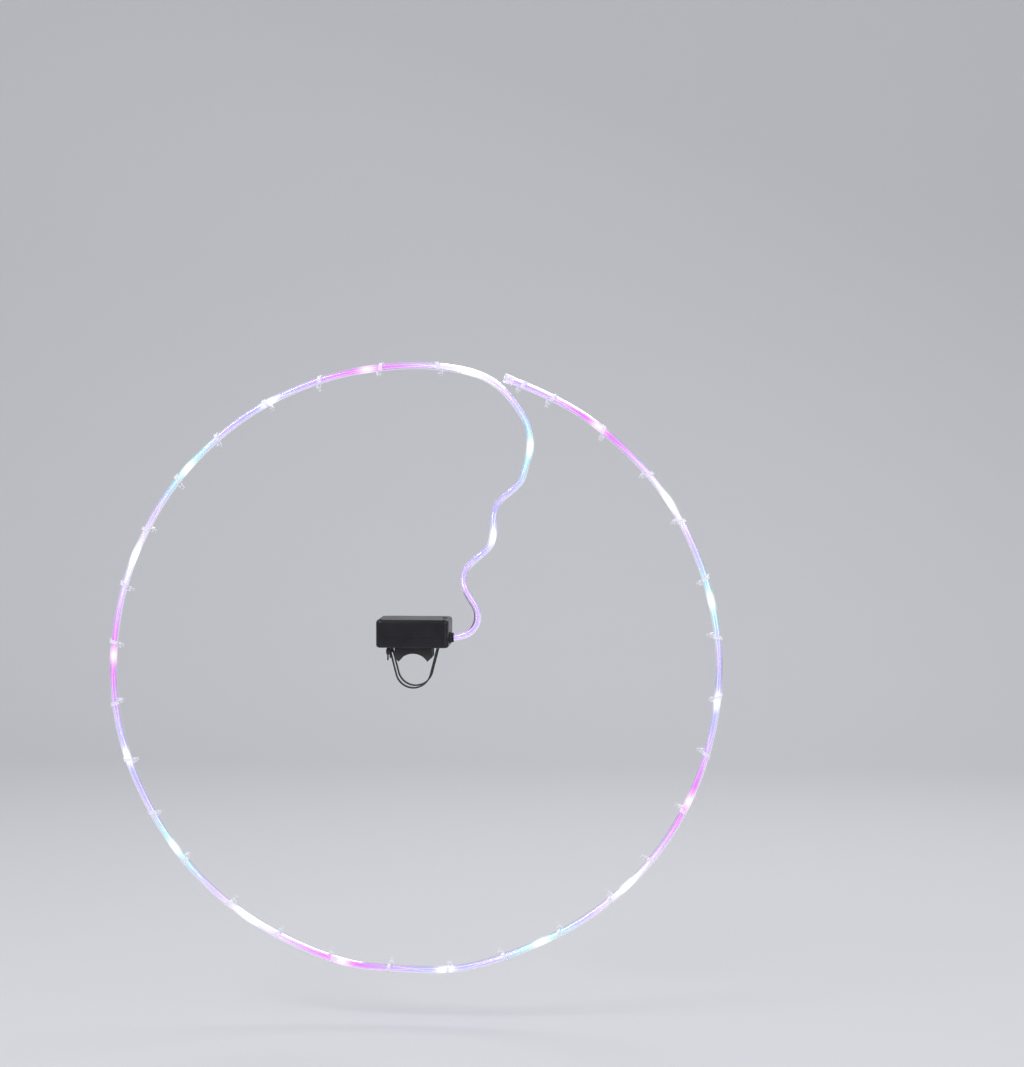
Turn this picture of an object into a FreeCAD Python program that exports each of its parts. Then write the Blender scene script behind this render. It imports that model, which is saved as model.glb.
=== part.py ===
import FreeCAD, Part
import math
import os

# Bicycle spoke wheel light: a clear tube with twenty LEDs, tied in a ring to the spokes of a
# front wheel, and a battery case for three AA cells that is strapped to the hub shell.
# Millimetres. The origin is the hub axis in the plane of the spokes' rim ends, +Z up, +Y along
# the axle to the far side. The tube lies on the near side of the spokes.

V = FreeCAD.Vector

# Wheel that carries the light
HUB_RADIUS = 16.0
SPOKE_RADIUS = 1.0
SPOKE_COUNT = 32
FIRST_SPOKE_ANGLE = 6.6
SPOKE_STEP = 360.0 / SPOKE_COUNT

# Tube
RING_RADIUS = 288.0
RING_BAND = 10.0
TUBE_RADIUS = 3.5
TUBE_BORE = 2.6
TUBE_Y = -SPOKE_RADIUS - TUBE_RADIUS - 0.1
TUBE_SIDES = 10
BORE_SIDES = 8
WIRE_RADIUS = 0.35
WIRE_SIDES = 4
WIRE_OFFSET = 1.95
ARC_SHARE = 0.45

# Spoke that the lead winds round: its angle, how far it passes from the axis, its flange
LEAD_SPOKE_ANGLE = 64.7
LEAD_SPOKE_MISS = 9.5
LEAD_FLANGE_Y = -33.0
WIND_RADIUS = 6.4
WIND_PITCH = 66.6
WIND_START = 97.3
WIND_STEPS = 9
WIND_STEPS_PER_TURN = 5
WIND_FIRST_ANGLE = 125.5

# Ring route: angle in degrees, and how far the tube strays from the ring's radius
RING_ROUTE = [(79.6, -1.4), (91, -1.6), (107, -1.4), (124, -0.5), (142, -0.3), (159, -0.2),
              (175, 0.9), (191, 2.2), (207, 0.4), (223, 1.4), (239, 1.2), (256, 3.3), (267, -0.4),
              (278, 2.8), (290, -1.2), (306, -0.4), (324, 0.4), (342, -1.1), (360, -0.5),
              (377, -1.1), (395, 0.1), (412, -1.1), (424, -0.8), (432.4, -0.8)]

# LED beads
LED_FIRST_ANGLE = 53.1
LED_ANGLE_STEP = 19.62
LED_RING_COUNT = 18
LED_PITCH = 98.0
LED_COLOURS = ["pink", "white", "green", "blue"]
BEAD_RADIUS = 1.35
BEAD_TIP_RADIUS = 0.5
BEAD_LENGTH = 5.6
BEAD_TAPER = 0.9
BEAD_SIDES = 8
CHIP = (1.8, 1.2, 1.0)

# End plug
PLUG_RADIUS = 4.4
PLUG_LENGTH = 10.0
PLUG_OVERLAP = 7.0

# Spoke ties
TIE_WIDTH = 3.2
TIE_THICKNESS = 0.9
TIE_GAP = 0.12
TIE_LEAN = 2.85
TIE_CORNER = 1.6
TIE_BACK_Y = TUBE_RADIUS + 0.1 + 2 * SPOKE_RADIUS + TIE_GAP
TIE_HEAD = (4.8, 3.4, 3.4)
TIE_HEAD_Y = 0.75
TIE_TAIL = 2.2
SPOKE_BEHIND_JOIN = 6
EXTRA_TIE_ANGLE = 69.3

# Battery case
CASE_LENGTH = 68.5
CASE_WIDTH = 56.0
CASE_BOTTOM = 22.2
CASE_TOP = CASE_BOTTOM + 26.6
SEAM = CASE_BOTTOM + 9.5
SEAM_GAP = 0.15
CASE_CORNER = 5.0
WALL = 1.8
TOP_THICKNESS = 2.5
TOP_ROUND = 3.2
BOTTOM_ROUND = 2.6
SCREW_X = 30.1
SCREW_Y = 24.4
BOSS_RADIUS = 2.3
SCREW_RADIUS = 0.9
SCREW_HOLE = 1.1
SCREW_FOOT = CASE_BOTTOM + 4.2
SCREW_HEAD_RADIUS = 1.9
SCREW_HEAD_HEIGHT = 1.4
SCREW_WELL_RADIUS = 2.1
SCREW_WELL_DEPTH = 2.1
GASKET_INSET = 0.45
GASKET_WIDTH = 0.9
GASKET_DEPTH = 0.8
GASKET_HEIGHT = 0.9

# Cells and contacts
CELL_RADIUS = 7.25
CELL_LENGTH = 50.5
CELL_PITCH = 14.6
CELL_BEVEL = 0.6
CELL_CAP = 1.5
CELL_CAP_RADIUS = 2.75
CELL_Z = CASE_BOTTOM + 12.35
CRADLE_RADIUS = 7.45
CONTACT_ZONE = 3.6
CONTACT_THICKNESS = 0.4
CONTACT_FOOT = CASE_BOTTOM + 5
DIMPLE_FOOT = 3.6
DIMPLE_TIP = 1.8
DIMPLE_REACH = 3.45
LEFT_ZONE = WALL - CASE_LENGTH / 2
CELL_LEFT = LEFT_ZONE + CONTACT_ZONE
RIGHT_ZONE = CELL_LEFT + CELL_LENGTH + CONTACT_ZONE
PARTITION = 1.2
PARTITION_TOP = CASE_BOTTOM + 19

# Board, switch and button in the bay beside the cells
BAY_LEFT = RIGHT_ZONE + PARTITION
BAY_RIGHT = CASE_LENGTH / 2 - WALL
BAY_FLOOR = CASE_BOTTOM + 2.6
BOARD_BOTTOM = CASE_BOTTOM + 14.4
BOARD_THICKNESS = 1.4
BOARD_HALF = 17.0
POST_RADIUS = 1.3
SWITCH_X = 28.9
SWITCH_BODY = (4.5, 4.5, 3.4)
PLUNGER_RADIUS = 1.3
PLUNGER_HEIGHT = 1.2
PLUNGER_DEPTH = 0.6
BUTTON_RADIUS = 2.8
BUTTON_HOLE = 3.0
BUTTON_FLANGE = 3.4
BUTTON_PROUD = 0.8

# Gland where the tube leaves the case
GLAND_Y = -16.0
GLAND_NECK = 4.2
GLAND_FLANGE = 4.8
GLAND_FLANGE_THICKNESS = 1.4
GLAND_REACH = 4.4
TUBE_START_X = 29.6

# Saddle pad and hub ties
PAD_HALF_ANGLE = 58.0
PAD_LENGTH = 34.0
PAD_HALF_WIDTH = 17.5
HUB_TIE_Y = 12.0
HUB_TIE_WIDTH = 4.6
HUB_TIE_THICKNESS = 1.3
HUB_TIE_TOP = CASE_BOTTOM + 1.65
HUB_TIE_CORNER_X = 22.6
TUNNEL_BOTTOM = CASE_BOTTOM + 1.2
TUNNEL_TOP = CASE_BOTTOM + 3.6
TUNNEL_HALF_LENGTH = 25.4
TUNNEL_WIDTH = 5.4
SLOT_INNER_X = 21.2


def polar(radius, degrees, y):
    angle = math.radians(degrees)
    return V(radius * math.cos(angle), y, radius * math.sin(angle))


def box(x0, x1, y0, y1, z0, z1):
    return Part.makeBox(x1 - x0, y1 - y0, z1 - z0, V(x0, y0, z0))


def rounded_block(length, width, z0, z1, corner):
    block = box(-length / 2, length / 2, -width / 2, width / 2, z0, z1)
    uprights = [edge for edge in block.Edges if abs(edge.tangentAt(0).z) > 0.99]
    return block.makeFillet(corner, uprights)


def edges_at(shape, z):
    return [edge for edge in shape.Edges
            if abs(edge.BoundBox.ZMin - z) < 1e-3 and abs(edge.BoundBox.ZMax - z) < 1e-3]


def cylinder(radius, x, y, z0, z1):
    return Part.makeCylinder(radius, z1 - z0, V(x, y, z0))


def cylinder_along_x(radius, x0, x1, y, z):
    return Part.makeCylinder(radius, x1 - x0, V(x0, y, z), V(1, 0, 0))


def turned(profile, centre, axis):
    """A solid of revolution. The profile is a list of (distance along the axis, radius)."""
    side = axis.cross(V(0, 1, 0))
    if side.Length < 0.1:
        side = axis.cross(V(1, 0, 0))
    side.normalize()
    corners = [centre + axis * along + side * radius for along, radius in profile]
    face = Part.Face(Part.makePolygon(corners + [corners[0]]))
    return face.revolve(centre, axis, 360)


def corner_arc(before, corner, after, radius=None):
    """Start, middle and end of the arc that rounds a corner, and its radius."""
    into = (corner - before).normalize()
    out = (after - corner).normalize()
    half_turn = into.getAngle(out) / 2
    if radius is None:
        reach = ARC_SHARE * min((corner - before).Length, (after - corner).Length)
        radius = reach / math.tan(half_turn)
    reach = radius * math.tan(half_turn)
    inward = (out - into).normalize()
    middle = corner + inward * (radius / math.cos(half_turn) - radius)
    return corner - into * reach, middle, corner + out * reach, radius


def cord_path(points):
    """Straight runs joined by arcs that are tangent to both."""
    edges = []
    radii = []
    here = points[0]
    for before, corner, after in zip(points, points[1:], points[2:]):
        start, middle, end, radius = corner_arc(before, corner, after)
        edges.append(Part.LineSegment(here, start).toShape())
        edges.append(Part.Arc(start, middle, end).toShape())
        radii.append(radius)
        here = end
    edges.append(Part.LineSegment(here, points[-1]).toShape())
    return Part.Wire(edges), radii


def polygon(centre, axis, radius, sides):
    """A regular polygon across an axis, with a flat side towards the wheel."""
    across = axis.cross(V(0, 1, 0)).normalize()
    upward = axis.cross(across)
    corners = []
    for index in range(sides + 1):
        angle = 2 * math.pi * (index + 0.5) / sides
        corners.append(centre + across * (radius * math.cos(angle)) + upward * (radius * math.sin(angle)))
    return Part.makePolygon(corners)


def polygon_area(radius, sides):
    return 0.5 * sides * radius ** 2 * math.sin(2 * math.pi / sides)


def swept(path, radius, sides):
    """A cord of polygonal section, which keeps its facets few."""
    start = path.Edges[0]
    section = polygon(start.valueAt(start.FirstParameter), start.tangentAt(0), radius, sides)
    return path.makePipeShell([section], True, False)


def place_along(path, distance):
    """The point and the direction of a path at a distance from its start."""
    for edge in path.Edges:
        if distance <= edge.Length:
            parameter = edge.getParameterByLength(distance)
            return edge.valueAt(parameter), edge.tangentAt(parameter)
        distance -= edge.Length
    return edge.valueAt(edge.LastParameter), edge.tangentAt(edge.LastParameter)


def length_at_angle(path, degrees, first):
    """How far along the path it crosses a radial line, for the part past a given length."""
    ray = Part.makeLine(polar(RING_RADIUS - RING_BAND, degrees, TUBE_Y),
                        polar(RING_RADIUS + RING_BAND, degrees, TUBE_Y))
    done = 0.0
    best = None
    for edge in path.Edges:
        gap, pairs, info = edge.distToShape(ray)
        if done + edge.Length > first and (best is None or gap < best[0]):
            parameter = edge.Curve.parameter(pairs[0][0])
            best = (gap, done + edge.Curve.length(edge.FirstParameter, parameter))
        done += edge.Length
    return best[1]


def frame_at(path, distance):
    """A placement with X back along the path, Y towards the wheel and Z away from the hub."""
    point, along = place_along(path, distance)
    x = -along
    y = (V(0, 1, 0) - along * along.y).normalize()
    z = x.cross(y)
    return FreeCAD.Placement(FreeCAD.Matrix(x.x, y.x, z.x, point.x, x.y, y.y, z.y, point.y,
                                            x.z, y.z, z.z, point.z, 0, 0, 0, 1))


# Route of the tube

def lead_spoke_point(distance):
    """A point on the axis of the spoke that the lead winds round."""
    angle = math.radians(LEAD_SPOKE_ANGLE)
    along = V(math.cos(angle), 0, math.sin(angle))
    aside = V(math.sin(angle), 0, -math.cos(angle))
    drift = V(0, LEAD_FLANGE_Y * (1 - distance / RING_RADIUS), 0)
    return along * distance + aside * LEAD_SPOKE_MISS + drift


def wound_points():
    angle = math.radians(LEAD_SPOKE_ANGLE)
    aside = V(math.sin(angle), 0, -math.cos(angle))
    step = WIND_PITCH / WIND_STEPS_PER_TURN
    points = []
    for index in range(WIND_STEPS + 1):
        turn = math.radians(WIND_FIRST_ANGLE + 360.0 * index / WIND_STEPS_PER_TURN)
        offset = aside * math.cos(turn) + V(0, -math.sin(turn), 0)
        points.append(lead_spoke_point(WIND_START + index * step) + offset * WIND_RADIUS)
    return points


def tube_points():
    lead = [V(TUBE_START_X, GLAND_Y, SEAM), V(47.5, GLAND_Y, SEAM), V(60.7, -20.9, 42.7),
            V(62.4, -28.4, 58.9), V(53.4, -32.9, 71.9)]
    joining = [V(110.7, -11.7, 210.8), V(107, -6.5, 232), V(96, -4.9, 249.5),
               V(79.6, TUBE_Y, 268.5)]
    ring = []
    angles = [angle for angle, stray in RING_ROUTE]
    for index, (angle, stray) in enumerate(RING_ROUTE):
        reach = angles[min(index + 1, len(angles) - 1)] - angles[max(index - 1, 0)]
        bulge = RING_RADIUS * (1 - math.cos(math.radians(reach / 4)))
        ring.append(polar(RING_RADIUS + stray + bulge, angle, TUBE_Y))
    return lead + wound_points() + joining + ring


def tube(path):
    return swept(path, TUBE_RADIUS, TUBE_SIDES).cut(swept(path, TUBE_BORE, BORE_SIDES))


def wire(path, side):
    moved = path.copy()
    moved.translate(V(0, side * WIRE_OFFSET, 0))
    return swept(moved, WIRE_RADIUS, WIRE_SIDES)


def led_places(path):
    """Colour and distance along the path for each LED."""
    places = []
    past_lead = path.Length - 2 * math.pi * RING_RADIUS
    for index in range(LED_RING_COUNT):
        angle = LED_FIRST_ANGLE - index * LED_ANGLE_STEP
        distance = length_at_angle(path, angle, past_lead)
        places.append((LED_COLOURS[index % 4], distance))
    first_on_ring = places[-1][1]
    for back in (1, 2):
        places.append((LED_COLOURS[(LED_RING_COUNT - 1 + back) % 4], first_on_ring - back * LED_PITCH))
    return places


def bead():
    """A drop of clear resin with a pocket for its chip."""
    half = BEAD_LENGTH / 2
    stations = [(-half, BEAD_TIP_RADIUS), (-half + BEAD_TAPER, BEAD_RADIUS),
                (half - BEAD_TAPER, BEAD_RADIUS), (half, BEAD_TIP_RADIUS)]
    sections = [polygon(V(x, 0, 0), V(1, 0, 0), radius, BEAD_SIDES) for x, radius in stations]
    return Part.makeLoft(sections, True, True).cut(chip())


def chip():
    length, width, height = CHIP
    return box(-length / 2, length / 2, -width / 2, width / 2, -height / 2, height / 2)


def group(model, placements):
    solids = []
    for placement in placements:
        solid = model.copy()
        solid.Placement = placement
        solids.append(solid)
    return Part.makeCompound(solids)


def end_plug(path):
    """A cap over the free end of the tube."""
    point, along = place_along(path, path.Length)
    start = point - along * PLUG_OVERLAP
    outline = [(0, TUBE_RADIUS), (0, PLUG_RADIUS - 0.4), (0.6, PLUG_RADIUS),
               (PLUG_LENGTH - 1.4, PLUG_RADIUS), (PLUG_LENGTH - 0.4, PLUG_RADIUS - 0.8),
               (PLUG_LENGTH, PLUG_RADIUS - 2.0), (PLUG_LENGTH, 0), (PLUG_OVERLAP, 0),
               (PLUG_OVERLAP, TUBE_RADIUS)]
    return turned(outline, start, along)


# Spoke ties, drawn round a tube along X with its centre at the origin and the spoke along Z

def strap_section(x, y, z, outward_y, outward_z):
    """One rectangle of a strap, given the centre of its inner face and its outward direction."""
    half = V(TIE_WIDTH / 2, 0, 0)
    thick = V(0, outward_y, outward_z).normalize() * TIE_THICKNESS
    centre = V(x, y, z)
    corners = [centre - half, centre + half, centre + half + thick, centre - half + thick]
    return Part.makePolygon(corners + [corners[0]])


def spoke_tie(lean):
    """A tie that passes the spoke on one side below the tube and on the other side above it."""
    side = TUBE_RADIUS + TIE_GAP
    back = TIE_BACK_Y
    cut = TIE_CORNER
    width, depth, height = TIE_HEAD
    head_front = TIE_HEAD_Y - depth / 2
    head_back = TIE_HEAD_Y + depth / 2
    sections = [strap_section(-0.8 * lean, head_front + 0.3, -side, 0, -1),
                strap_section(-0.35 * lean, -side + cut, -side, -0.4, -1),
                strap_section(-0.2 * lean, -side, -side + cut, -1, -0.4),
                strap_section(0.2 * lean, -side, side - cut, -1, 0.4),
                strap_section(0.35 * lean, -side + cut, side, -0.4, 1),
                strap_section(lean, back - cut, side, 0.4, 1),
                strap_section(0.75 * lean, back, side - cut, 1, 0.4),
                strap_section(-0.75 * lean, back, -side + cut, 1, -0.4),
                strap_section(-lean, back - cut, -side, 0.4, -1),
                strap_section(-lean, head_back - 0.3, -side, 0, -1)]
    strap = Part.makeLoft(sections, True, True)
    centre_x = -0.9 * lean
    head = box(centre_x - width / 2, centre_x + width / 2, head_front, head_back,
               -side - height, -side)
    tail = box(centre_x - TIE_WIDTH / 2, centre_x + TIE_WIDTH / 2, TIE_HEAD_Y - TIE_THICKNESS / 2,
               TIE_HEAD_Y + TIE_THICKNESS / 2, -side - height - TIE_TAIL, -side - height)
    return head.fuse([strap, tail])


def spoke_ties(path):
    past_lead = path.Length - 2 * math.pi * RING_RADIUS
    angles = [FIRST_SPOKE_ANGLE + SPOKE_STEP * index for index in range(SPOKE_COUNT)]
    angles[SPOKE_BEHIND_JOIN] = EXTRA_TIE_ANGLE
    left = []
    right = []
    for index, angle in enumerate(angles):
        placement = frame_at(path, length_at_angle(path, angle, past_lead))
        (left if index % 3 == 1 else right).append(placement)
    return group(spoke_tie(-TIE_LEAN), left), group(spoke_tie(TIE_LEAN), right)


# Battery case

def corners_of_case():
    return [(x, y) for x in (-SCREW_X, SCREW_X) for y in (-SCREW_Y, SCREW_Y)]


def cell_axes():
    return [-CELL_PITCH, 0.0, CELL_PITCH]


def gland_notch():
    return cylinder_along_x(GLAND_NECK, BAY_RIGHT - 0.1, CASE_LENGTH / 2 + 0.1, GLAND_Y, SEAM)


def tie_tunnel(y):
    """A flat tunnel across the underside, open downwards only at its two ends."""
    half = TUNNEL_WIDTH / 2
    tunnel = box(-TUNNEL_HALF_LENGTH, TUNNEL_HALF_LENGTH, y - half, y + half, TUNNEL_BOTTOM, TUNNEL_TOP)
    slots = [box(x0, x1, y - half, y + half, CASE_BOTTOM - 1, TUNNEL_TOP)
             for x0, x1 in ((-TUNNEL_HALF_LENGTH, -SLOT_INNER_X), (SLOT_INNER_X, TUNNEL_HALF_LENGTH))]
    return tunnel.fuse(slots)


def gasket_ring(z0, z1):
    outer = rounded_block(CASE_LENGTH - 2 * GASKET_INSET, CASE_WIDTH - 2 * GASKET_INSET, z0, z1,
                          CASE_CORNER - GASKET_INSET)
    inset = GASKET_INSET + GASKET_WIDTH
    inner = rounded_block(CASE_LENGTH - 2 * inset, CASE_WIDTH - 2 * inset, z0 - 1, z1 + 1,
                          CASE_CORNER - inset)
    return outer.cut(inner)


def lid_gasket():
    bottom = SEAM - GASKET_DEPTH
    return gasket_ring(bottom, bottom + GASKET_HEIGHT).cut(gland_notch())


def case_base():
    block = rounded_block(CASE_LENGTH, CASE_WIDTH, CASE_BOTTOM, SEAM, CASE_CORNER)
    block = block.makeFillet(BOTTOM_ROUND, edges_at(block, CASE_BOTTOM))
    half_inside = CASE_WIDTH / 2 - WALL
    cradle_left = CELL_LEFT - 0.2
    cradle_right = CELL_LEFT + CELL_LENGTH + 0.2
    rack = CELL_PITCH + CRADLE_RADIUS - 1
    hollows = [cylinder_along_x(CRADLE_RADIUS, cradle_left, cradle_right, y, CELL_Z)
               for y in cell_axes()]
    hollows.append(box(LEFT_ZONE, cradle_left + 0.1, -rack, rack, CONTACT_FOOT, SEAM + 1))
    hollows.append(box(cradle_right - 0.1, RIGHT_ZONE, -rack, rack, CONTACT_FOOT, SEAM + 1))
    hollows.append(box(BAY_LEFT, BAY_RIGHT, -half_inside, half_inside, BAY_FLOOR, SEAM + 1))
    for side in (-1, 1):
        inner, outer = sorted((side * (rack + 2.4), side * half_inside))
        hollows.append(box(-SCREW_X + BOSS_RADIUS + 0.8, RIGHT_ZONE, inner, outer, BAY_FLOOR, SEAM + 1))
    hollows += [tie_tunnel(side * HUB_TIE_Y) for side in (-1, 1)]
    block = block.cut(hollows)
    bosses = [cylinder(BOSS_RADIUS, x, y, BAY_FLOOR - 0.2, SEAM) for x, y in corners_of_case()]
    posts = [cylinder(POST_RADIUS, SWITCH_X, y, BAY_FLOOR - 0.2, BOARD_BOTTOM) for y in (-5, 13)]
    wall = box(RIGHT_ZONE, BAY_LEFT, -rack, rack, CASE_BOTTOM + 4, PARTITION_TOP)
    block = block.fuse(bosses + posts + [wall])
    pilots = [cylinder(SCREW_HOLE, x, y, SCREW_FOOT - 0.6, SEAM + 1) for x, y in corners_of_case()]
    groove = gasket_ring(SEAM - GASKET_DEPTH, SEAM + 1)
    return block.cut(pilots + [groove, gland_notch()]).removeSplitter()


def case_lid():
    bottom = SEAM + SEAM_GAP
    ceiling = CASE_TOP - TOP_THICKNESS
    block = rounded_block(CASE_LENGTH, CASE_WIDTH, bottom, CASE_TOP, CASE_CORNER)
    block = block.makeFillet(TOP_ROUND, edges_at(block, CASE_TOP))
    hollow = rounded_block(CASE_LENGTH - 2 * WALL, CASE_WIDTH - 2 * WALL, bottom - 1, ceiling,
                           CASE_CORNER - WALL)
    block = block.cut(hollow)
    bosses = [cylinder(BOSS_RADIUS, x, y, bottom, ceiling + 0.2) for x, y in corners_of_case()]
    block = block.fuse(bosses)
    holes = [cylinder(SCREW_HOLE, x, y, bottom - 1, CASE_TOP + 1) for x, y in corners_of_case()]
    holes += [cylinder(SCREW_WELL_RADIUS, x, y, CASE_TOP - SCREW_WELL_DEPTH, CASE_TOP + 1)
              for x, y in corners_of_case()]
    holes.append(cylinder(BUTTON_HOLE, SWITCH_X, 0, ceiling - 1, CASE_TOP + 1))
    return block.cut(holes + [gland_notch()]).removeSplitter()


def lid_screws():
    screws = []
    head_bottom = CASE_TOP - SCREW_WELL_DEPTH
    for x, y in corners_of_case():
        shank = cylinder(SCREW_RADIUS, x, y, SCREW_FOOT, head_bottom)
        head = cylinder(SCREW_HEAD_RADIUS, x, y, head_bottom, head_bottom + SCREW_HEAD_HEIGHT)
        slot = [box(x - 1.2, x + 1.2, y - 0.25, y + 0.25, head_bottom + 0.7, CASE_TOP),
                box(x - 0.25, x + 0.25, y - 1.2, y + 1.2, head_bottom + 0.7, CASE_TOP)]
        screws.append(head.fuse(shank).cut(slot))
    return Part.makeCompound(screws)


def battery(index):
    """A cell along X. The outer two have their positive end on the right."""
    left = CELL_LEFT
    right = CELL_LEFT + CELL_LENGTH
    y = cell_axes()[index]
    shoulder = CELL_LENGTH - CELL_CAP
    outline = [(0, 0), (0, CELL_RADIUS - CELL_BEVEL), (CELL_BEVEL, CELL_RADIUS),
               (shoulder - CELL_BEVEL, CELL_RADIUS), (shoulder, CELL_RADIUS - CELL_BEVEL),
               (shoulder, CELL_CAP_RADIUS), (CELL_LENGTH, CELL_CAP_RADIUS), (CELL_LENGTH, 0)]
    positive_right = index != 1
    start = V(left if positive_right else right, y, CELL_Z)
    return turned(outline, start, V(1 if positive_right else -1, 0, 0))


def contact_plate(x0, inward, y0, y1):
    """A flat sheet that stands against the end of the cells."""
    x1 = x0 + inward * CONTACT_THICKNESS
    return box(min(x0, x1), max(x0, x1), y0, y1, CONTACT_FOOT, PARTITION_TOP)


def leaf(x0, inward, y):
    """The folded tongue that presses on the flat end of a cell."""
    line = [(0.4, 11.8), (2.9, 6.4), (0.9, 1.6), (1.3, 1.4), (3.4, 6.4), (0.8, 12.0)]
    corners = [V(x0 + inward * x, y - 2.6, CONTACT_FOOT + 1 + z) for x, z in line]
    sheet = Part.Face(Part.makePolygon(corners + [corners[0]]))
    return sheet.extrude(V(0, 5.2, 0)).fuse(
        box(*sorted((x0, x0 + inward * 0.8)), y - 2.6, y + 2.6,
            CONTACT_FOOT + 12.6, CONTACT_FOOT + 13.4))


def dimple(x0, inward, y):
    """The raised button that meets the small end of a cell."""
    return turned([(0, 0), (0, DIMPLE_FOOT), (DIMPLE_REACH, DIMPLE_TIP), (DIMPLE_REACH, 0)],
                  V(x0, y, CELL_Z), V(inward, 0, 0))


def contact(x0, inward, leaf_y=None, dimple_y=None):
    ys = [y for y in (leaf_y, dimple_y) if y is not None]
    sheet = contact_plate(x0, inward, min(ys) - 4.6, max(ys) + 4.6)
    if leaf_y is not None:
        sheet = sheet.fuse(leaf(x0, inward, leaf_y))
    if dimple_y is not None:
        sheet = sheet.fuse(dimple(x0, inward, dimple_y))
    return sheet


def circuit_board():
    board = box(BAY_LEFT + 0.2, BAY_RIGHT - 0.2, -BOARD_HALF, BOARD_HALF, BOARD_BOTTOM,
                BOARD_BOTTOM + BOARD_THICKNESS)
    return board


def board_parts():
    """A controller, a resistor row and a capacitor on top of the board."""
    top = BOARD_BOTTOM + BOARD_THICKNESS
    chip_body = box(SWITCH_X - 1.9, SWITCH_X + 1.9, -12.5, -7.5, top, top + 1.6)
    resistors = [box(SWITCH_X - 1, SWITCH_X + 1, y, y + 1.25, top, top + 0.6) for y in (6, 8.2, 10.4)]
    capacitor = cylinder(2.0, SWITCH_X, 14.2, top, top + 4.5)
    return Part.makeCompound([chip_body, capacitor] + resistors)


def switch_body():
    length, width, height = SWITCH_BODY
    top = BOARD_BOTTOM + BOARD_THICKNESS
    body = box(SWITCH_X - length / 2, SWITCH_X + length / 2, -width / 2, width / 2, top, top + height)
    return body.cut(cylinder(PLUNGER_RADIUS + 0.15, SWITCH_X, 0, top + height - 1.5, top + height + 1))


def switch_plunger():
    top = BOARD_BOTTOM + BOARD_THICKNESS + SWITCH_BODY[2]
    return cylinder(PLUNGER_RADIUS, SWITCH_X, 0, top - PLUNGER_DEPTH, top + PLUNGER_HEIGHT)


def push_button():
    """A soft button with a domed face, a flange under the lid and a stem to the switch."""
    ceiling = CASE_TOP - TOP_THICKNESS
    foot = BOARD_BOTTOM + BOARD_THICKNESS + SWITCH_BODY[2] + PLUNGER_HEIGHT + 0.1
    top = CASE_TOP + BUTTON_PROUD
    outline = [(foot, 0), (foot, 1.5), (ceiling - 1.0, 1.5), (ceiling - 1.0, BUTTON_FLANGE),
               (ceiling - 0.2, BUTTON_FLANGE), (ceiling - 0.2, BUTTON_RADIUS),
               (CASE_TOP, BUTTON_RADIUS), (top - 0.2, BUTTON_RADIUS - 0.5),
               (top, BUTTON_RADIUS - 1.4), (top, 0)]
    return turned(outline, V(SWITCH_X, 0, 0), V(0, 0, 1))


def cable_gland():
    """A rubber sleeve with a flange on each side of the end wall and a tapered boot outside."""
    inside = BAY_RIGHT - GLAND_FLANGE_THICKNESS
    outside = CASE_LENGTH / 2
    outline = [(inside, TUBE_RADIUS), (inside, GLAND_FLANGE), (BAY_RIGHT, GLAND_FLANGE),
               (BAY_RIGHT, GLAND_NECK), (outside, GLAND_NECK), (outside, GLAND_FLANGE + 0.6),
               (outside + 1.6, GLAND_FLANGE + 0.6), (outside + 2.0, GLAND_FLANGE),
               (outside + GLAND_REACH, TUBE_RADIUS + 0.7), (outside + GLAND_REACH, TUBE_RADIUS)]
    return turned(outline, V(0, GLAND_Y, SEAM), V(1, 0, 0))


def lead_wires():
    wires = []
    for side in (-1, 1):
        y = GLAND_Y + side * WIRE_OFFSET
        start = V(TUBE_START_X, y, SEAM)
        corner = V(BAY_LEFT + 0.8, y, SEAM)
        end = V(BAY_LEFT + 0.8, y, BOARD_BOTTOM)
        arc_start, middle, arc_end, radius = corner_arc(start, corner, end, 2.0)
        path = Part.Wire([Part.LineSegment(start, arc_start).toShape(),
                          Part.Arc(arc_start, middle, arc_end).toShape(),
                          Part.LineSegment(arc_end, end).toShape()])
        wires.append(swept(path, WIRE_RADIUS, WIRE_SIDES))
    return Part.makeCompound(wires)


# Saddle pad and hub ties

def hub_pad():
    angle = math.radians(PAD_HALF_ANGLE)
    x = HUB_RADIUS * math.sin(angle)
    z = HUB_RADIUS * math.cos(angle)
    y = -PAD_LENGTH / 2
    saddle = Part.Arc(V(-x, y, z), V(0, y, HUB_RADIUS), V(x, y, z)).toShape()
    side_z = z + (PAD_HALF_WIDTH - x) * 0.9
    rest = Part.makePolygon([V(x, y, z), V(PAD_HALF_WIDTH, y, side_z), V(PAD_HALF_WIDTH, y, CASE_BOTTOM),
                             V(-PAD_HALF_WIDTH, y, CASE_BOTTOM), V(-PAD_HALF_WIDTH, y, side_z),
                             V(-x, y, z)])
    face = Part.Face(Part.Wire([saddle] + rest.Edges))
    return face.extrude(V(0, PAD_LENGTH, 0))


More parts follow.
